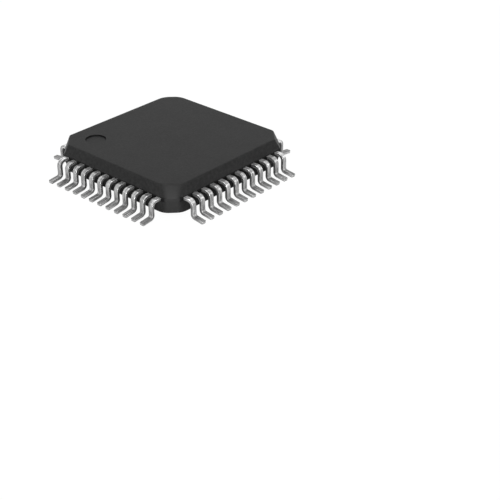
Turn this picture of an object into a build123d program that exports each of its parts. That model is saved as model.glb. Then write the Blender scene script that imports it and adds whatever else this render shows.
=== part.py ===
from build123d import *
import math
import os

# A 48-lead plastic quad flat pack holding a programmable logic die.
# Millimetres, +Z up. The origin is on the seating plane under the middle of the package.
# Seen from above, lead 1 is the first lead below the cut corner at -X +Y, and the
# numbers run counter-clockwise: down the -X side, then along -Y, +X and +Y.

# Leads, outside the moulding
leads_per_side = 12
lead_pitch = 0.50
lead_width = 0.22
frame_thickness = 0.127
lead_reach = 1.0
shoulder_reach = 0.485
foot_angle = 7.0
shoulder_inner_radius = 0.15
heel_inner_radius = 0.08

# Moulding
standoff = 0.14
end_margin = 0.75
draft_angle = 9.0
corner_radius = 1.0
key_corner_leg = 0.68
mould_edge_bevel = 0.04
dimple_diameter = 0.88
dimple_depth = 0.06
dimple_inset = 1.23

# Stack in the moulding, from the underside up
cover_under_paddle = 0.435
paddle_downset = 0.18
adhesive_thickness = 0.025
die_thickness = 0.28
wire_loop_height = 0.15
cover_over_wires = 0.273

# Die, paddle and tie bars
die_width = 2.4
adhesive_margin = 0.06
paddle_margin = 0.40
tie_bar_width = 0.15
tie_bar_flat = 0.20
tie_bar_slope = 35.0
tie_bar_cover = 0.40

# Fingers, inside the moulding
anchor_length = 0.35
finger_gap = 0.35
finger_tip_width = 0.15
tie_bar_gap = 0.20

# Bond wires
pad_inset = 0.09
pad_corner_margin = 0.265
wire_width = 0.022
stitch_setback = 0.12

# Levels above the seating plane
paddle_bottom = standoff + cover_under_paddle
paddle_top = paddle_bottom + frame_thickness
die_bottom = paddle_top + adhesive_thickness
die_top = die_bottom + die_thickness
body_top = die_top + wire_loop_height + cover_over_wires
frame_top = paddle_top + paddle_downset
frame_bottom = frame_top - frame_thickness

# Half widths and places across the package; a square's diagonal is this much longer than its side
diagonal = math.sqrt(2)
last_lead = (leads_per_side - 1) / 2 * lead_pitch
body_half = last_lead + end_margin
toe_end = body_half + lead_reach
leg_outer = body_half + shoulder_reach
leg_inner = leg_outer - frame_thickness
paddle_half = die_width / 2 + paddle_margin
finger_root = body_half - anchor_length
finger_tip = paddle_half + finger_gap
tip_row_end = finger_tip - diagonal * (tie_bar_width / 2 + tie_bar_gap)
tip_pitch = 2 * (tip_row_end - finger_tip_width / 2) / (leads_per_side - 1)
pad_pitch = (die_width - 2 * pad_corner_margin) / (leads_per_side - 1)


def row_offset(index, pitch):
    """Distance from the middle of a row to its place number index, counted from 0."""
    return (index - (leads_per_side - 1) / 2) * pitch


def slab(plan, level, thickness):
    """A flat piece of the given plan, standing on a level."""
    return extrude(Plane.XY.offset(level) * plan, thickness)


def on_side(shape, side):
    """A shape made for the -X side, turned to side 0 (-X), 1 (-Y), 2 (+X) or 3 (+Y)."""
    return Rot(0, 0, 90 * side) * shape


def gull_wing_section():
    """Shoulder, leg and foot of one lead in the X-Z plane, reaching towards +X."""
    slope = math.radians(foot_angle)
    toe_height = frame_thickness / math.cos(slope)
    instep = toe_height + (toe_end - leg_outer) * math.tan(slope)
    heel = (toe_end - leg_inner) * math.tan(slope)
    shoulder_outer_radius = shoulder_inner_radius + frame_thickness
    heel_outer_radius = heel_inner_radius + frame_thickness
    corners_and_radii = [
        ((finger_root, frame_top), 0),
        ((leg_outer, frame_top), shoulder_outer_radius),
        ((leg_outer, instep), heel_inner_radius),
        ((toe_end, toe_height), 0),
        ((toe_end, 0), 0),
        ((leg_inner, heel), heel_outer_radius),
        ((leg_inner, frame_bottom), shoulder_inner_radius),
        ((finger_root, frame_bottom), 0),
    ]
    corners = [corner for corner, radius in corners_and_radii]
    radii = [radius for corner, radius in corners_and_radii]
    return make_face(FilletPolyline(*corners, radius=radii, close=True))


def finger_plan(root, tip):
    """Plan of one inner finger, narrowing from its anchor in the edge to its tip by the die."""
    half_root = lead_width / 2
    half_tip = finger_tip_width / 2
    return make_face(
        Polyline(
            (finger_root, root - half_root),
            (finger_tip, tip - half_tip),
            (finger_tip, tip + half_tip),
            (finger_root, root + half_root),
            close=True,
        )
    )


def lead(index):
    """Lead number index of the -X side: one formed strip, bends outside, finger inside."""
    root = row_offset(index, lead_pitch)
    tip = row_offset(index, tip_pitch)
    bends = extrude(Plane.XZ * gull_wing_section(), lead_width / 2, both=True)
    finger = slab(finger_plan(root, tip), frame_bottom, frame_thickness)
    return Rot(0, 0, 180) * (Pos(0, root, 0) * bends + finger)


def tie_bar():
    """Bar along +X that carries the paddle: down by the paddle, ramped up to the frame."""
    ramp_start = paddle_half * diagonal + tie_bar_flat
    ramp_end = ramp_start + paddle_downset / math.tan(math.radians(tie_bar_slope))
    corner_cut = max(key_corner_leg / diagonal, corner_radius * (diagonal - 1))
    bar_end = body_half * diagonal - corner_cut - tie_bar_cover
    shift = frame_thickness * math.tan(math.radians(tie_bar_slope / 2))
    section = make_face(
        Polyline(
            (paddle_half, paddle_top),
            (ramp_start, paddle_top),
            (ramp_end, frame_top),
            (bar_end, frame_top),
            (bar_end, frame_bottom),
            (ramp_end + shift, frame_bottom),
            (ramp_start + shift, paddle_bottom),
            (paddle_half, paddle_bottom),
            close=True,
        )
    )
    return extrude(Plane.XZ * section, tie_bar_width / 2, both=True)


def die_paddle():
    """Downset paddle under the die, with a tie bar towards each corner."""
    plate = slab(Rectangle(2 * paddle_half, 2 * paddle_half), paddle_bottom, frame_thickness)
    bar = Rot(0, 0, 45) * tie_bar()
    for side in range(4):
        plate += on_side(bar, side)
    return plate


def die_attach():
    """Adhesive between paddle and die, squeezed out a little all round the die."""
    width = die_width + 2 * adhesive_margin
    return slab(Rectangle(width, width), paddle_top, adhesive_thickness)


def silicon_die():
    """The programmable logic die."""
    return slab(Rectangle(die_width, die_width), die_bottom, die_thickness)


def bond_wire(index):
    """Wire of the -X side: upright neck on the die, then a run down to the finger."""
    pad = Vector(pad_inset - die_width / 2, -row_offset(index, pad_pitch), die_top)
    setback_share = stitch_setback / (finger_root - finger_tip)
    pitch_at_stitch = tip_pitch + (lead_pitch - tip_pitch) * setback_share
    stitch_offset = -row_offset(index, pitch_at_stitch)
    stitch = Vector(-finger_tip - stitch_setback, stitch_offset, frame_top)
    reach = Vector(stitch.X - pad.X, stitch.Y - pad.Y, 0)
    loop_top = pad + Vector(0, 0, wire_loop_height)
    past_stitch = stitch + (stitch - loop_top).normalized() * wire_width
    section = Plane(pad, x_dir=reach) * Rectangle(wire_width, wire_width)
    path = Polyline(pad, loop_top, past_stitch)
    wire = sweep(section, path, transition=Transition.RIGHT)
    return split(wire, bisect_by=Plane.XY.offset(frame_top), keep=Keep.TOP)


def moulding_outline():
    """Outline at the parting line: three round corners and the cut corner by lead 1."""
    corners_and_radii = [
        ((body_half, body_half), corner_radius),
        ((key_corner_leg - body_half, body_half), 0),
        ((-body_half, body_half - key_corner_leg), 0),
        ((-body_half, -body_half), corner_radius),
        ((body_half, -body_half), corner_radius),
    ]
    corners = [corner for corner, radius in corners_and_radii]
    radii = [radius for corner, radius in corners_and_radii]
    return make_face(FilletPolyline(*corners, radius=radii, close=True))


def drafted(height):
    """One half of the moulding, narrowing upwards from the parting line at level 0."""
    block = extrude(moulding_outline(), height)
    sides = block.faces().sort_by(Axis.Z)[1:-1]
    return draft(sides, Plane.XY, draft_angle)


def moulding_block():
    """The moulding as a full block, drafted away from the lead frame up and down."""
    band = slab(moulding_outline(), frame_bottom, frame_thickness)
    upper = Pos(0, 0, frame_top) * drafted(body_top - frame_top)
    lower = Pos(0, 0, frame_bottom) * mirror(drafted(frame_bottom - standoff), about=Plane.XY)
    block = band + upper + lower
    levels = block.faces().sort_by(Axis.Z)
    return chamfer(levels[-1].edges() + levels[0].edges(), mould_edge_bevel)


def lead_one_dimple():
    """Shallow round dimple in the top face, diagonally in from the cut corner."""
    centre = Plane((dimple_inset - body_half, body_half - dimple_inset, body_top))
    return extrude(centre * Circle(dimple_diameter / 2), -dimple_depth)


def moulded_body(embedded):
    """The epoxy moulding, in contact with everything that was embedded in it."""
    return moulding_block() - lead_one_dimple() - embedded


def model():
    """All nodes by name."""
    nodes = {}
    one_side = [lead(index) for index in range(leads_per_side)]
    for side in range(4):
        for index, strip in enumerate(one_side):
            nodes[f"lead_{side * leads_per_side + index + 1:02d}"] = on_side(strip, side)
    nodes["die_paddle"] = die_paddle()
    nodes["die_attach"] = die_attach()
    nodes["silicon_die"] = silicon_die()
    wires = [bond_wire(index) for index in range(leads_per_side)]
    turned = [on_side(wire, side) for side in range(4) for wire in wires]
    nodes["bond_wires"] = Compound(children=turned)
    embedded = [part for node in nodes.values() for part in node.solids()]
    nodes["moulded_body"] = moulded_body(embedded)
    return nodes


os.makedirs("parts", exist_ok=True)
for name, shape in model().items():
    export_step(shape, f"parts/{name}.step")
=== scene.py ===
import math

import bmesh
import bpy
from mathutils import Matrix, Vector

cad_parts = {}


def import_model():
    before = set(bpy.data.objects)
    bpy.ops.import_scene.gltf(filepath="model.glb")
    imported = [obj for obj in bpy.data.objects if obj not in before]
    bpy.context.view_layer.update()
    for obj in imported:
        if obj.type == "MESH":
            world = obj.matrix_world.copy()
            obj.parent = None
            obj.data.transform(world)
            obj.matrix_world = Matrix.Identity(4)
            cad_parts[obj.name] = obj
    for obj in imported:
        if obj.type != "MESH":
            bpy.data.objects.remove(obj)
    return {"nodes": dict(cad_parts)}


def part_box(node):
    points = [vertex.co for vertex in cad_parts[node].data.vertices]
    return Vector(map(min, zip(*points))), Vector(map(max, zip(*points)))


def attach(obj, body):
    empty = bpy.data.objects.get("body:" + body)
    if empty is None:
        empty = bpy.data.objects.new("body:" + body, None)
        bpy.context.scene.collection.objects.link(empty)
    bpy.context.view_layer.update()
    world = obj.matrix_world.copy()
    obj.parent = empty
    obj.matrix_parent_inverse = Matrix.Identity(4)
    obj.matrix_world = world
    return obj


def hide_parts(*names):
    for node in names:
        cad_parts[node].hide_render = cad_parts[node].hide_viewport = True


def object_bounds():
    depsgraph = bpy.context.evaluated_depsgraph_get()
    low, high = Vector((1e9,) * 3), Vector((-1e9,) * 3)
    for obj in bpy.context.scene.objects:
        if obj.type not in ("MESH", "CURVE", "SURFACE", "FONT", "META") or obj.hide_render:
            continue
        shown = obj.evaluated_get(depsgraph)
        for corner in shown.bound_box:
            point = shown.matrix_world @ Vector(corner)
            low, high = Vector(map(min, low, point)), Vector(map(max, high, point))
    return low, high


# Looks of a 48-lead quad flat pack. Metres, +Z up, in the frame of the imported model.
# Lengths are written in millimetres times MM. The finishes below work in millimetres.
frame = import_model()
cad_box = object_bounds()
MM = 0.001

# Leads
LEADS_PER_SIDE = 12
LEAD_PITCH = 0.50 * MM
LEAD_WIDTH = 0.22 * MM
FRAME_THICKNESS = 0.127 * MM
SHOULDER_REACH = 0.485 * MM
FOOT_ANGLE = math.radians(7.0)
SHOULDER_INNER_RADIUS = 0.15 * MM
HEEL_INNER_RADIUS = 0.08 * MM
ANCHOR_LENGTH = 0.35 * MM
FINGER_TIP_WIDTH = 0.15 * MM
LEAD_EDGE_RADIUS = 0.018 * MM
TOE_CORNER_RADIUS = 0.04 * MM
TOE_EDGE_RADIUS = 0.02 * MM

# Texture coordinates of a lead: x is the distance along the strip from its root, and grows by
# STRIP_LENGTH from lead to lead so that no two are streaked alike. y goes round the section,
# and is STRIP_UNDERSIDE in the middle of the underside.
STRIP_LENGTH = 6.0 * MM
STRIP_UNDERSIDE = 0.457 * MM

# Moulding
DRAFT_ANGLE = math.radians(9.0)
MOULD_EDGE_RADIUS = 0.05 * MM
PARTING_EDGE_RADIUS = 0.012 * MM
DIMPLE_RADIUS = 0.44 * MM
DIMPLE_DEPTH = 0.06 * MM
DIMPLE_INSET = 1.23 * MM
DIMPLE_DRAFT = 0.006 * MM
DIMPLE_RIM_RADIUS = 0.008 * MM
DIMPLE_FLOOR_RADIUS = 0.03 * MM

# The moulding's corner facets by their quarter. In millimetres: leg at the parting line, at the
# top and at the underside, and radius of both ends. The sharpest is the cut corner by lead 1.
CORNER_FACETS = {
    (1, 1): (0.48, 0.53, 0.53, 0.70),
    (-1, 1): (0.54, 0.69, 0.58, 0.10),
    (-1, -1): (0.48, 0.61, 0.55, 0.60),
    (1, -1): (0.455, 0.66, 0.54, 0.15),
}

# Segments of the rounded forms
BEND_STEPS = 14
LEAD_EDGE_STEPS = 3
TOE_STEPS = 5
MOULD_CORNER_STEPS = 10
MOULD_EDGE_STEPS = 8
DIMPLE_POINTS = 96

# Narrow faces beside each rounding, which keep the smooth shading off the flats
SUPPORT_STRIP = 0.03 * MM
SECTION_STRIP = 0.006 * MM

# Camera, solved from the feet, legs and body edges of the part in the photograph
CAMERA_AZIMUTH = math.radians(-48.363)
CAMERA_ELEVATION = math.radians(30.242)
CAMERA_DISTANCE = 50.175 * MM
CAMERA_TO_THE_RIGHT = 3.330 * MM
CAMERA_DOWN = 3.576 * MM
CAMERA_RISE = 0.02 * MM
CAMERA_LENS = 83.818
CAMERA_CLIP_START = 1 * MM
CAMERA_CLIP_END = 10

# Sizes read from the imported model
body_low, body_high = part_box("moulded_body")
BODY_HALF = body_high.x
STANDOFF = body_low.z
BODY_TOP = body_high.z
TOE_END = cad_box[1].x
FRAME_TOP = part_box("lead_01")[1].z
FRAME_BOTTOM = FRAME_TOP - FRAME_THICKNESS
FINGER_TIP = -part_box("lead_01")[1].x
FINGER_ROOT = BODY_HALF - ANCHOR_LENGTH
DIMPLE_X = DIMPLE_INSET - BODY_HALF
DIMPLE_Y = BODY_HALF - DIMPLE_INSET

# Stretches along a lead's strip from its root, in millimetres, where its painted light and shade
# or its roughness change
SHOULDER_BEND = (0.50, 0.75)
UPPER_LEG = (0.75, 0.95)
LOWER_LEG = (0.92, 1.12)
HEEL_BEND = (1.15, 1.24)
HEEL_END = (1.26, 1.48)
FOOT_START = (1.30, 1.50)

# Where a cut edge starts and ends, in millimetres round the section from mid-underside
CUT_EDGE_START = (0.095, 0.115)
CUT_EDGE_END = (0.215, 0.235)

# How far off a corner's diagonal the shoulders painted brighter beside it end, in millimetres
CORNER_SHOULDER_END = (0.95, 1.20)

# Linear greys of the moulding. An upright corner painted paler as painted light goes from its
# first grey to its second between the two levels, which are in millimetres.
MOULD_GREYS = (0.028, 0.032)
LIT_CORNER_GREYS = (0.0445, 0.0365)
LIT_CORNER_LEVELS = (0.90, 1.35)
# The grey of the dimple's wall is painted shade.
DIMPLE_SHADE_GREY = 0.004

# Studio
FLOOR_HALF = 400 * MM
FLOOR_GREYS = (0.30, 0.32)
FLOOR_GLOW = 1.15
FLOOR_WHITE_SHARE = 0.85
FLOOR_SHADOW_REACH = 1.2 * MM
LAMP_DISTANCE = 300 * MM

# Name, azimuth from the -Y side and elevation in degrees, width, and power in watts
LAMPS = (
    ("front", -48.9, 5, 120 * MM, 0.95),
    ("top", 0, 88, 200 * MM, 0.25),
    ("back", 131, 75, 120 * MM, 0.35),
    ("right", 49, 28, 90 * MM, 0.07),
    ("left", -132, 26, 90 * MM, 0.03),
)


def corner_arc(before, corner, after, radius, steps):
    """Points of the arc that rounds one corner of a plane path."""
    if radius == 0:
        return [corner.copy()]
    back = (before - corner).normalized()
    ahead = (after - corner).normalized()
    half_angle = back.angle(ahead) / 2
    centre = corner + (back + ahead).normalized() * radius / math.sin(half_angle)
    start = corner + back * radius / math.tan(half_angle) - centre
    turn = math.copysign(math.pi - 2 * half_angle, ahead.cross(back))
    return [centre + Matrix.Rotation(turn * step / steps, 2) @ start for step in range(steps + 1)]


def rounded_path(corners, radii, steps, closed=False):
    """A plane path through corners, each rounded by its radius."""
    points = [Vector(corner) for corner in corners]
    path = []
    for place, (corner, radius) in enumerate(zip(points, radii)):
        before = points[place - 1]
        after = points[(place + 1) % len(points)]
        at_end = place in (0, len(points) - 1) and not closed
        path += [corner] if at_end else corner_arc(before, corner, after, radius, steps)
    return path


def running_lengths(points, start):
    """How far along a path each of its points lies, if the first lies at start."""
    lengths = [start]
    for before, here in zip(points, points[1:]):
        lengths.append(lengths[-1] + (here - before).length)
    return lengths


def bridge(made, rings):
    """Rows of quads from ring to ring. A ring is a list of mesh points, all equally long."""
    rows = []
    for ring, following in zip(rings, rings[1:]):
        row = []
        for place in range(len(ring)):
            following_place = (place + 1) % len(ring)
            corners = (ring[place], ring[following_place], following[following_place], following[place])
            row.append(made.faces.new(corners))
        rows.append(row)
    return rows


def finish_mesh(made, name, material):
    """An object from a bmesh, with one material."""
    bmesh.ops.recalc_face_normals(made, faces=made.faces)
    mesh = bpy.data.meshes.new(name)
    made.to_mesh(mesh)
    made.free()
    piece = bpy.data.objects.new(name, mesh)
    bpy.context.scene.collection.objects.link(piece)
    mesh.materials.append(material)
    return piece


def lead_centreline():
    """Centre line of one lead in the X-Z plane: finger, shoulder bend, leg, heel bend, foot."""
    toe_height = FRAME_THICKNESS / math.cos(FOOT_ANGLE)
    leg = BODY_HALF + SHOULDER_REACH - FRAME_THICKNESS / 2
    foot_top = toe_height + (TOE_END - leg - FRAME_THICKNESS / 2) * math.tan(FOOT_ANGLE)
    foot_bottom = (TOE_END - leg + FRAME_THICKNESS / 2) * math.tan(FOOT_ANGLE)
    middle = (FRAME_TOP + FRAME_BOTTOM) / 2
    toe = TOE_END - FRAME_THICKNESS / 2 * math.sin(FOOT_ANGLE)
    toe_middle = toe_height / 2 + (TOE_END - toe) * math.tan(FOOT_ANGLE)
    corners = [
        (FINGER_ROOT, middle),
        (leg, middle),
        (leg, (foot_top + foot_bottom) / 2),
        (toe, toe_middle),
    ]
    half = FRAME_THICKNESS / 2
    radii = [0, SHOULDER_INNER_RADIUS + half, HEEL_INNER_RADIUS + half, 0]
    return rounded_path(corners, radii, BEND_STEPS)


def toe_stations(toe, run):
    """Stations that round off the toe: (point, cut from half width, cut from half thickness)."""
    stations = []
    for step in range(TOE_STEPS + 1):
        angle = math.pi / 2 * step / TOE_STEPS
        left = TOE_CORNER_RADIUS * (1 - math.sin(angle))
        width_cut = TOE_CORNER_RADIUS * (1 - math.cos(angle))
        into_edge = max(TOE_EDGE_RADIUS - left, 0)
        thickness_cut = TOE_EDGE_RADIUS - math.sqrt(TOE_EDGE_RADIUS**2 - into_edge**2)
        stations.append((toe - run * left, width_cut, thickness_cut))
    return stations


def lead_section(half_width, half_height):
    """Rounded outline of the strip as (across, up) pairs, with a support strip by each corner."""
    corners = [
        (half_width, half_height),
        (-half_width, half_height),
        (-half_width, -half_height),
        (half_width, -half_height),
    ]
    outline = []
    for place, corner in enumerate(corners):
        before = Vector(corners[place - 1])
        after = Vector(corners[(place + 1) % len(corners)])
        arc = corner_arc(before, Vector(corner), after, LEAD_EDGE_RADIUS, LEAD_EDGE_STEPS)
        lead_in = arc[0] + (before - Vector(corner)).normalized() * SECTION_STRIP
        lead_out = arc[-1] + (after - Vector(corner)).normalized() * SECTION_STRIP
        outline += [lead_in, *arc, lead_out]
    return outline


def lead_stations(tip_offset, root_offset):
    """Stations from finger tip to toe: (point, direction, half width, half thickness)."""
    half_thickness = FRAME_THICKNESS / 2
    line = lead_centreline()
    flat = Vector((1, 0))
    stations = [
        (Vector((FINGER_TIP, tip_offset, line[0].y)), flat, FINGER_TIP_WIDTH / 2, half_thickness),
        (Vector((FINGER_ROOT, root_offset, line[0].y)), flat, LEAD_WIDTH / 2, half_thickness),
    ]
    for before, here, after in zip(line, line[1:], line[2:]):
        run = (here - before).normalized() + (after - here).normalized()
        point = Vector((here.x, root_offset, here.y))
        stations.append((point, run.normalized(), LEAD_WIDTH / 2, half_thickness))
    run = (line[-1] - line[-2]).normalized()
    for point, width_cut, thickness_cut in toe_stations(line[-1], run):
        place = Vector((point.x, root_offset, point.y))
        stations.append((place, run, LEAD_WIDTH / 2 - width_cut, half_thickness - thickness_cut))
    return stations


def lead_offsets(index):
    """How far from the middle of the first side a lead has its finger's tip and its root."""
    root = (index - (LEADS_PER_SIDE - 1) / 2) * LEAD_PITCH
    low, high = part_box(f"lead_{index + 1:02d}")
    inner_edge = min(abs(low.y), abs(high.y))
    tip = math.copysign(inner_edge + FINGER_TIP_WIDTH / 2, root)
    return tip, root


def lead_ring(made, station, turned):
    """Mesh points round the strip at one station."""
    point, run, half_width, half_thickness = station
    normal = Vector((-run.y, 0, run.x))
    ring = []
    for across, up in lead_section(half_width, half_thickness):
        place = point + Vector((0, across, 0)) + normal * up
        ring.append(made.verts.new(turned @ place))
    return ring


def map_strip(strip, rows, stations, root_place):
    """Smooths the strip's faces and writes their texture coordinates, in millimetres."""
    points = [station[0] for station in stations]
    finger = (points[1] - points[0]).length
    along = running_lengths(points, root_place - finger)
    section = lead_section(LEAD_WIDTH / 2, FRAME_THICKNESS / 2)
    around = running_lengths(section + section[:1], 0)
    for station, row in enumerate(rows):
        for place, face in enumerate(row):
            face.smooth = True
            for loop, (onward, beside) in zip(face.loops, ((0, 0), (0, 1), (1, 1), (1, 0))):
                loop[strip].uv = (along[station + onward] / MM, around[place + beside] / MM)


def lead_piece(number, material):
    """One formed lead, finger included, in place of its CAD node."""
    name = f"lead_{number:02d}"
    side, index = divmod(number - 1, LEADS_PER_SIDE)
    stations = lead_stations(*lead_offsets(index))
    turned = Matrix.Rotation(math.pi + math.pi / 2 * side, 4, "Z")
    made = bmesh.new()
    strip = made.loops.layers.uv.new("strip")
    rings = [lead_ring(made, station, turned) for station in stations]
    map_strip(strip, bridge(made, rings), stations, number * STRIP_LENGTH)
    made.faces.new(rings[0])
    made.faces.new(rings[-1])
    piece = finish_mesh(made, name + "_tinned", material)
    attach(piece, "root")
    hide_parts(name)


def moulding_ring(inset, level):
    """Outline of the moulding drawn in by inset, its corner facets as wide as at that level."""
    half = BODY_HALF - inset
    up = max(level - FRAME_TOP, 0) / (BODY_TOP - FRAME_TOP)
    down = max(FRAME_BOTTOM - level, 0) / (FRAME_BOTTOM - STANDOFF)
    corners = []
    radii = []
    for (x, y), sizes in CORNER_FACETS.items():
        at_parting, at_top, at_underside, rounding = (size * MM for size in sizes)
        leg = at_parting + (at_top - at_parting) * up + (at_underside - at_parting) * down
        ends = [(x * half, y * (half - leg)), (x * (half - leg), y * half)]
        corners += ends if x == y else reversed(ends)
        radii += [rounding, rounding]
    return rounded_path(corners, radii, MOULD_CORNER_STEPS, closed=True)


def moulding_profile():
    """Side of the moulding from underside to top, as (inset, level) pairs."""
    slope = math.tan(DRAFT_ANGLE)
    upper_inset = (BODY_TOP - FRAME_TOP) * slope
    lower_inset = (FRAME_BOTTOM - STANDOFF) * slope
    support = 2 * MOULD_EDGE_RADIUS + SUPPORT_STRIP
    corners = [
        (lower_inset + support, STANDOFF),
        (lower_inset, STANDOFF),
        (0, FRAME_BOTTOM),
        (0, FRAME_TOP),
        (upper_inset, BODY_TOP),
        (upper_inset + support, BODY_TOP),
    ]
    radii = [0, MOULD_EDGE_RADIUS, PARTING_EDGE_RADIUS, PARTING_EDGE_RADIUS, MOULD_EDGE_RADIUS, 0]
    return rounded_path(corners, radii, MOULD_EDGE_STEPS)


def dimple_profile():
    """The dimple from its rim to its floor, as (radius, level) pairs."""
    floor = BODY_TOP - DIMPLE_DEPTH
    corners = [
        (DIMPLE_RADIUS + SUPPORT_STRIP, BODY_TOP),
        (DIMPLE_RADIUS, BODY_TOP),
        (DIMPLE_RADIUS - DIMPLE_DRAFT, floor),
        (DIMPLE_RADIUS / 2, floor),
    ]
    return rounded_path(corners, [0, DIMPLE_RIM_RADIUS, DIMPLE_FLOOR_RADIUS, 0], MOULD_EDGE_STEPS)


def dimple_rings(made):
    """Mesh points of the dimple, ring by ring from its rim to its floor."""
    rings = []
    for radius, level in dimple_profile():
        ring = []
        for step in range(DIMPLE_POINTS):
            angle = 2 * math.pi * step / DIMPLE_POINTS
            spoke = Vector((math.cos(angle), math.sin(angle), 0)) * radius
            ring.append(made.verts.new(Vector((DIMPLE_X, DIMPLE_Y, level)) + spoke))
        rings.append(ring)
    return rings


def ring_edges(made, ring):
    """The mesh edges that join the points of a ring in turn."""
    return [made.edges.get((point, ring[place - 1])) for place, point in enumerate(ring)]


def moulding_piece(material):
    """The moulding with rounded edges, parting line and lead-one dimple."""
    made = bmesh.new()
    rings = []
    for inset, level in moulding_profile():
        outline = moulding_ring(inset, level)
        rings.append([made.verts.new((point.x, point.y, level)) for point in outline])
    bridge(made, rings)
    made.faces.new(rings[0])
    dimple = dimple_rings(made)
    bridge(made, dimple)
    made.faces.new(dimple[-1])
    border = ring_edges(made, rings[-1]) + ring_edges(made, dimple[0])
    bmesh.ops.triangle_fill(made, edges=border, use_beauty=True, normal=(0, 0, 1))
    for face in made.faces:
        face.smooth = True
    piece = finish_mesh(made, "moulding_shell", material)
    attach(piece, "root")
    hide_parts("moulded_body")


class Nodes:
    """A node tree, with short calls to add nodes and link them."""

    def __init__(self, tree):
        self.tree = tree

    def add(self, kind, inputs=None, **settings):
        """A node with its settings. An input is a constant or another node's output."""
        node = self.tree.nodes.new("ShaderNode" + kind)
        for setting, value in settings.items():
            setattr(node, setting, value)
        for socket, value in (inputs or {}).items():
            self.feed(node, socket, value)
        return node

    def feed(self, node, socket, value):
        """Sets or links one input."""
        if isinstance(value, bpy.types.NodeSocket):
            self.tree.links.new(value, node.inputs[socket])
        else:
            node.inputs[socket].default_value = value

    def millimetres(self, stretch=(1, 1, 1)):
        """Object coordinates in millimetres, stretched."""
        place = self.add("TexCoord").outputs["Object"]
        scale = [factor / MM for factor in stretch]
        return self.add("Mapping", {"Vector": place, "Scale": scale}).outputs["Vector"]

    def parts(self, vector):
        """The X, Y and Z of a vector."""
        return self.add("SeparateXYZ", {"Vector": vector}).outputs

    def calculate(self, operation, *numbers):
        """One step of arithmetic."""
        return self.add("Math", dict(enumerate(numbers)), operation=operation).outputs[0]

    def noise(self, place, scale, detail, roughness):
        """A noise texture read as one number from 0 to 1."""
        inputs = {"Vector": place, "Scale": scale, "Detail": detail, "Roughness": roughness}
        return self.add("TexNoise", inputs).outputs["Fac"]

    def between(self, factor, low, high, start=0.0, end=1.0):
        """A number that goes from low to high while factor goes from start to end."""
        inputs = {"Value": factor, "From Min": start, "From Max": end, "To Min": low, "To Max": high}
        return self.add("MapRange", inputs).outputs["Result"]

    def mix(self, share, one, other):
        """A number that goes from one to the other with share."""
        return self.add("Mix", {0: share, 2: one, 3: other}).outputs[0]

    def mix_colours(self, share, one, other, blend="MIX"):
        """A colour that goes from one to the other, or is their product, with share."""
        inputs = {0: share, 6: one, 7: other}
        return self.add("Mix", inputs, data_type="RGBA", blend_type=blend).outputs[2]

    def neutral(self, tone):
        """A grey colour from one number."""
        return self.add("CombineXYZ", {"X": tone, "Y": tone, "Z": tone}).outputs["Vector"]

    def ramp(self, factor, low, high, start=0.0, end=1.0):
        """A colour that goes from low to high while factor goes from start to end."""
        node = self.add("ValToRGB", {"Fac": factor})
        for stop, place, colour in zip(node.color_ramp.elements, (start, end), (low, high)):
            stop.position = place
            stop.color = (*colour, 1)
        return node.outputs["Color"]

    def bump(self, height, distance, normal=None):
        """A bump of that height in millimetres, on top of another one where it is given."""
        inputs = {"Height": height, "Distance": distance * MM}
        if normal is not None:
            inputs["Normal"] = normal
        return self.add("Bump", inputs).outputs["Normal"]


class Finish(Nodes):
    """The node tree of a new material with its principled shader."""

    def __init__(self, name):
        self.material = bpy.data.materials.new(name)
        self.material.use_nodes = True
        super().__init__(self.material.node_tree)
        self.shader = self.tree.nodes["Principled BSDF"]

    def shade(self, **values):
        """Sets or links the shader's inputs, underscores standing for spaces."""
        for socket, value in values.items():
            self.feed(self.shader, socket.replace("_", " "), value)
        return self.material


def grey(value):
    """A neutral colour."""
    return (value, value, value)


def side_scuffs(nodes, place, facing):
    """Tone of the upright faces, which are scuffed in patches. It is 1 on the flat ones."""
    upright = nodes.between(facing["Z"], 1.0, 0.0, 0.5, 0.9)
    patches = nodes.noise(place, 7.0, 3.0, 0.6)
    return nodes.mix(upright, 1.0, nodes.between(patches, 0.78, 1.22, 0.3, 0.7))


def parting_shade(nodes, level):
    """Tone of the band between the leads, which is painted dark as painted shade. It is 1 away from it.
    """
    middle = (FRAME_TOP + FRAME_BOTTOM) / 2 / MM
    off_middle = nodes.calculate("ABSOLUTE", nodes.calculate("SUBTRACT", level, middle))
    return nodes.between(off_middle, 0.35, 1.0, 0.08, 0.11)


def lit_corners(nodes, facing):
    """1 on the upright corners of the moulding, which are painted paler as painted light, 0 elsewhere.
    """
    product = nodes.calculate("MULTIPLY", facing["X"], facing["Y"])
    return nodes.between(nodes.calculate("ABSOLUTE", product), 0.0, 1.0, 0.33, 0.43)


def dimple_wall_shade(nodes, place):
    """1 on the wall of the lead-one dimple, which is painted darker than the eroded face as painted
    shade, 0 elsewhere.
    """
    radius = DIMPLE_RADIUS / MM
    middle = [DIMPLE_X / MM, DIMPLE_Y / MM, BODY_TOP / MM]
    spoke = nodes.add("VectorMath", {0: place, 1: middle}, operation="DISTANCE").outputs["Value"]
    inside = nodes.between(spoke, 1.0, 0.0, radius, radius + 0.01)
    off_floor = nodes.between(spoke, 0.0, 1.0, radius - 0.05, radius - 0.03)
    return nodes.calculate("MULTIPLY", inside, off_floor)


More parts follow.
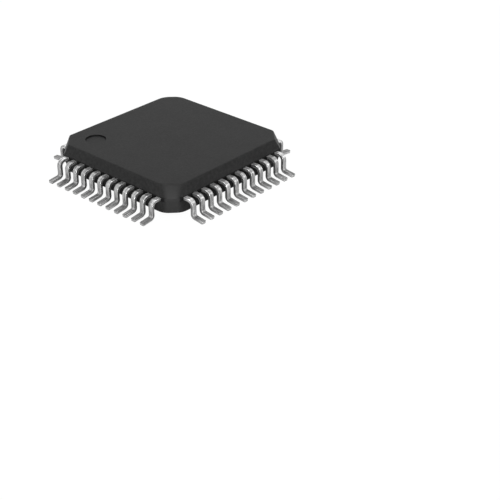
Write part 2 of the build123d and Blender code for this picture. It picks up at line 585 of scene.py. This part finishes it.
def mould_compound():
    """Filled black epoxy with a fine eroded grain, faint clouding and scuffs, with painted light on
    the upright corners and painted shade on the parting band and the dimple's wall.
    """
    nodes = Finish("mould_compound")
    place = nodes.millimetres()
    level = nodes.parts(place)["Z"]
    facing = nodes.parts(nodes.add("NewGeometry").outputs["Normal"])
    clouds = nodes.noise(place, 0.9, 4.0, 0.6)
    grain = nodes.noise(place, 34.0, 2.0, 0.6)
    pits = nodes.noise(place, 11.0, 3.0, 0.5)
    cloudy = nodes.between(clouds, *MOULD_GREYS, 0.3, 0.7)
    scuffed = nodes.calculate("MULTIPLY", cloudy, side_scuffs(nodes, place, facing))
    # The band between the leads is darkened here as painted shade.
    tone = nodes.calculate("MULTIPLY", scuffed, parting_shade(nodes, level))
    speckle = nodes.ramp(grain, grey(0.88), grey(1.12), 0.3, 0.7)
    eroded_and_shaded = nodes.mix_colours(1.0, nodes.neutral(tone), speckle, "MULTIPLY")
    # The upright corners are painted paler here as painted light.
    paler = nodes.neutral(nodes.between(level, *LIT_CORNER_GREYS, *LIT_CORNER_LEVELS))
    lit_corner_colour = nodes.mix_colours(lit_corners(nodes, facing), eroded_and_shaded, paler)
    # The dimple's wall is painted near black here as painted shade.
    wall_shade = (*grey(DIMPLE_SHADE_GREY), 1)
    colour = nodes.mix_colours(dimple_wall_shade(nodes, place), lit_corner_colour, wall_shade)
    roughness = nodes.between(pits, 0.42, 0.50, 0.3, 0.7)
    normal = nodes.bump(pits, 0.004)
    normal = nodes.bump(grain, 0.003, normal)
    nodes.shade(Specular_IOR_Level=0.06)
    return nodes.shade(Base_Color=colour, Roughness=roughness, Normal=normal)


def face_light_and_shade(nodes, from_root):
    """Tone along the strip, all painted light and shade: bright by the moulding, a little bright low
    on the leg, darker after the heel.
    """
    lit_root = nodes.between(from_root, 1.3, 1.0, *SHOULDER_BEND)
    lit_leg = nodes.between(from_root, 1.0, 1.1, *LOWER_LEG)
    shaded_foot = nodes.between(from_root, 1.0, 0.47, *HEEL_END)
    return nodes.calculate("MULTIPLY", nodes.calculate("MULTIPLY", lit_root, shaded_foot), lit_leg)


def cut_edge_light_and_shade(nodes, from_root, around):
    """Tone of the strip's two cut edges: painted shade on the leg, painted light on the foot. 1 on the
    faces.
    """
    from_middle = nodes.calculate("SUBTRACT", around, STRIP_UNDERSIDE / MM)
    aside = nodes.calculate("ABSOLUTE", from_middle)
    past_underside = nodes.between(aside, 0.0, 1.0, *CUT_EDGE_START)
    before_top = nodes.between(aside, 1.0, 0.0, *CUT_EDGE_END)
    on_edge = nodes.calculate("MULTIPLY", past_underside, before_top)
    on_leg = nodes.between(from_root, 1.0, 0.55, *UPPER_LEG)
    on_foot = nodes.between(from_root, 0.0, 1.7, *FOOT_START)
    return nodes.mix(on_edge, 1.0, nodes.calculate("ADD", on_leg, on_foot))


def corner_shoulder_light(nodes, place):
    """Tone of the shoulders beside a corner, which stand free of neighbours and are painted brighter as
    painted light.
    """
    parts = nodes.parts(place)
    out = nodes.calculate("ABSOLUTE", parts["X"])
    along = nodes.calculate("ABSOLUTE", parts["Y"])
    off_diagonal = nodes.calculate("ABSOLUTE", nodes.calculate("SUBTRACT", out, along))
    return nodes.between(off_diagonal, 1.5, 1.0, *CORNER_SHOULDER_END)


def tinned_lead():
    """Tin plating on formed leads, with faint streaks along the strip and a soft grain, and painted
    light and shade along the strip, on its cut edges and on the shoulders by the corners.
    """
    nodes = Finish("tinned_lead")
    strip = nodes.add("UVMap", uv_map="strip").outputs["UV"]
    streaked = nodes.add("Mapping", {"Vector": strip, "Scale": (1.6, 15.0, 1.0)}).outputs["Vector"]
    streaks = nodes.noise(streaked, 1.0, 4.0, 0.6)
    place = nodes.millimetres()
    patches = nodes.noise(place, 5.0, 3.0, 0.55)
    grain = nodes.noise(place, 60.0, 2.0, 0.6)
    parts = nodes.parts(strip)
    from_root = nodes.calculate("MODULO", parts["X"], STRIP_LENGTH / MM)
    # The tones along the strip, on the cut edges and on the corner shoulders are painted light and
    # shade.
    on_faces = face_light_and_shade(nodes, from_root)
    light_and_shade = nodes.calculate("MULTIPLY", on_faces, cut_edge_light_and_shade(nodes, from_root, parts["Y"]))
    streaked_tone = nodes.between(streaks, 0.12, 0.64, 0.34, 0.66)
    shaded_streaks = nodes.calculate("MULTIPLY", streaked_tone, light_and_shade)
    tone = nodes.calculate("MULTIPLY", shaded_streaks, corner_shoulder_light(nodes, place))
    smooth = nodes.between(patches, 0.25, 0.33, 0.3, 0.7)
    bent = nodes.between(from_root, 0.0, 0.14, *HEEL_BEND)
    roughness = nodes.calculate("ADD", smooth, bent)
    normal = nodes.bump(streaks, 0.0007)
    normal = nodes.bump(grain, 0.0010, normal)
    colour = nodes.neutral(tone)
    return nodes.shade(Base_Color=colour, Metallic=0.75, Roughness=roughness, Normal=normal)


def frame_alloy():
    """Rolled copper alloy of the paddle and its tie bars."""
    nodes = Finish("frame_alloy")
    streaks = nodes.noise(nodes.millimetres((3.0, 60.0, 3.0)), 1.0, 4.0, 0.6)
    patches = nodes.noise(nodes.millimetres(), 2.5, 3.0, 0.5)
    colour = nodes.ramp(patches, (0.70, 0.36, 0.20), (0.80, 0.46, 0.28), 0.3, 0.7)
    roughness = nodes.between(streaks, 0.28, 0.42, 0.3, 0.7)
    normal = nodes.bump(streaks, 0.001)
    return nodes.shade(Base_Color=colour, Metallic=1.0, Roughness=roughness, Normal=normal)


def die_adhesive():
    """Silver-filled epoxy: grey paste with bright flakes."""
    nodes = Finish("die_adhesive")
    place = nodes.millimetres()
    flakes = nodes.noise(place, 30.0, 2.0, 0.6)
    colour = nodes.ramp(flakes, grey(0.34), grey(0.66), 0.4, 0.62)
    metallic = nodes.between(flakes, 0.2, 0.8, 0.45, 0.6)
    normal = nodes.bump(flakes, 0.004)
    return nodes.shade(Base_Color=colour, Metallic=metallic, Roughness=0.5, Normal=normal)


def silicon():
    """Die surface: a fine array of logic blocks and routing lanes in blue-grey film."""
    nodes = Finish("silicon")
    place = nodes.millimetres()
    blocks = nodes.add(
        "TexBrick",
        {
            "Vector": place,
            "Color1": (0.10, 0.13, 0.20, 1),
            "Color2": (0.16, 0.15, 0.22, 1),
            "Mortar": (0.36, 0.34, 0.30, 1),
            "Scale": 4.0,
            "Mortar Size": 0.02,
            "Brick Width": 0.8,
            "Row Height": 0.4,
        },
        offset=0.0,
    )
    cells = nodes.noise(place, 26.0, 2.0, 0.6)
    tint = nodes.ramp(cells, grey(0.75), grey(1.2), 0.35, 0.65)
    colour = nodes.mix_colours(1.0, blocks.outputs["Color"], tint, "MULTIPLY")
    roughness = nodes.between(cells, 0.12, 0.26, 0.3, 0.7)
    return nodes.shade(Base_Color=colour, Metallic=0.4, Roughness=roughness)


def wire_gold():
    """Drawn gold wire with faint die lines."""
    nodes = Finish("wire_gold")
    lines = nodes.noise(nodes.millimetres((8.0, 8.0, 40.0)), 1.0, 3.0, 0.5)
    colour = nodes.ramp(lines, (0.86, 0.58, 0.20), (0.98, 0.74, 0.32), 0.3, 0.7)
    roughness = nodes.between(lines, 0.18, 0.30, 0.3, 0.7)
    return nodes.shade(Base_Color=colour, Metallic=1.0, Roughness=roughness)


def dress_inner_nodes():
    """Materials of the parts sealed in the moulding, on the CAD meshes themselves."""
    finishes = {
        "die_paddle": frame_alloy(),
        "die_attach": die_adhesive(),
        "silicon_die": silicon(),
        "bond_wires": wire_gold(),
    }
    for name, material in finishes.items():
        node = frame["nodes"][name]
        for slot in node.material_slots:
            slot.material = material


def seen_as_background(nodes, mirrored=1.0):
    """1 for rays from the camera, mirrored for those from metal and glass, 0 for the rest."""
    path = nodes.add("LightPath").outputs
    either = nodes.calculate("MAXIMUM", path["Is Glossy Ray"], path["Is Transmission Ray"])
    dimmed = nodes.calculate("MULTIPLY", either, mirrored)
    return nodes.calculate("MAXIMUM", path["Is Camera Ray"], dimmed)


def floor_material():
    """Grey paper with a white glow laid over most of it where it is seen, less so in mirrors
    of the paper close under the part, so that the part's soft shadow is left.
    """
    nodes = Finish("studio_floor")
    paper = nodes.noise(nodes.millimetres(), 0.4, 3.0, 0.5)
    low, high = FLOOR_GREYS
    nodes.shade(Base_Color=nodes.ramp(paper, grey(low), grey(high)), Roughness=0.9)
    glow = nodes.add("Emission", {"Color": (1, 1, 1, 1), "Strength": FLOOR_GLOW})
    open_sky = nodes.add("AmbientOcclusion", {"Distance": FLOOR_SHADOW_REACH}).outputs["AO"]
    uncovered = nodes.between(open_sky, 0.0, 1.0, 0.3, 0.9)
    seen = seen_as_background(nodes, uncovered)
    share = nodes.calculate("MULTIPLY", seen, FLOOR_WHITE_SHARE)
    both = nodes.add("MixShader", {0: share, 1: nodes.shader.outputs[0], 2: glow.outputs[0]})
    nodes.feed(nodes.tree.nodes["Material Output"], "Surface", both.outputs[0])
    return nodes.material


def floor():
    """The plane that the part stands on."""
    made = bmesh.new()
    corners = [(-1, -1), (1, -1), (1, 1), (-1, 1)]
    made.faces.new([made.verts.new((x * FLOOR_HALF, y * FLOOR_HALF, 0)) for x, y in corners])
    plane = finish_mesh(made, "studio_floor", floor_material())


def world():
    """Surroundings that are white where they are seen or mirrored, and give no other light."""
    surroundings = bpy.data.worlds.new("studio")
    surroundings.use_nodes = True
    bpy.context.scene.world = surroundings
    nodes = Nodes(surroundings.node_tree)
    background = nodes.tree.nodes["Background"]
    nodes.feed(background, "Color", (1, 1, 1, 1))
    nodes.feed(background, "Strength", seen_as_background(nodes))


def direction(azimuth, elevation):
    """Unit vector from the object towards an azimuth, counted from -Y, and an elevation."""
    level = math.cos(elevation)
    return Vector((math.sin(azimuth) * level, -math.cos(azimuth) * level, math.sin(elevation)))


def lamp(name, azimuth, elevation, width, power):
    """A square area lamp that points at the object."""
    light = bpy.data.lights.new(name, "AREA")
    light.shape = "SQUARE"
    light.size = width
    light.energy = power
    towards = direction(math.radians(azimuth), math.radians(elevation))
    holder = bpy.data.objects.new(name, light)
    holder.location = towards * LAMP_DISTANCE
    holder.rotation_euler = towards.to_track_quat("Z", "Y").to_euler()
    bpy.context.scene.collection.objects.link(holder)


def camera():
    """The photograph's view."""
    back = direction(CAMERA_AZIMUTH, CAMERA_ELEVATION)
    right = Vector((math.cos(CAMERA_AZIMUTH), math.sin(CAMERA_AZIMUTH), 0))
    up = back.cross(right)
    lens = bpy.data.cameras.new("camera")
    lens.lens = CAMERA_LENS
    lens.clip_start = CAMERA_CLIP_START
    lens.clip_end = CAMERA_CLIP_END
    eye = bpy.data.objects.new("camera", lens)
    place = back * CAMERA_DISTANCE + right * CAMERA_TO_THE_RIGHT - up * CAMERA_DOWN
    place.z += CAMERA_RISE
    eye.matrix_world = Matrix.Translation(place) @ Matrix((right, up, back)).transposed().to_4x4()
    bpy.context.scene.collection.objects.link(eye)
    bpy.context.scene.camera = eye


def build():
    """Everything that the picture shows."""
    plating = tinned_lead()
    for number in range(1, 4 * LEADS_PER_SIDE + 1):
        lead_piece(number, plating)
    moulding_piece(mould_compound())
    dress_inner_nodes()
    floor()
    world()
    for settings in LAMPS:
        lamp(*settings)
    camera()
    bpy.context.scene.view_settings.view_transform = "Standard"


build()
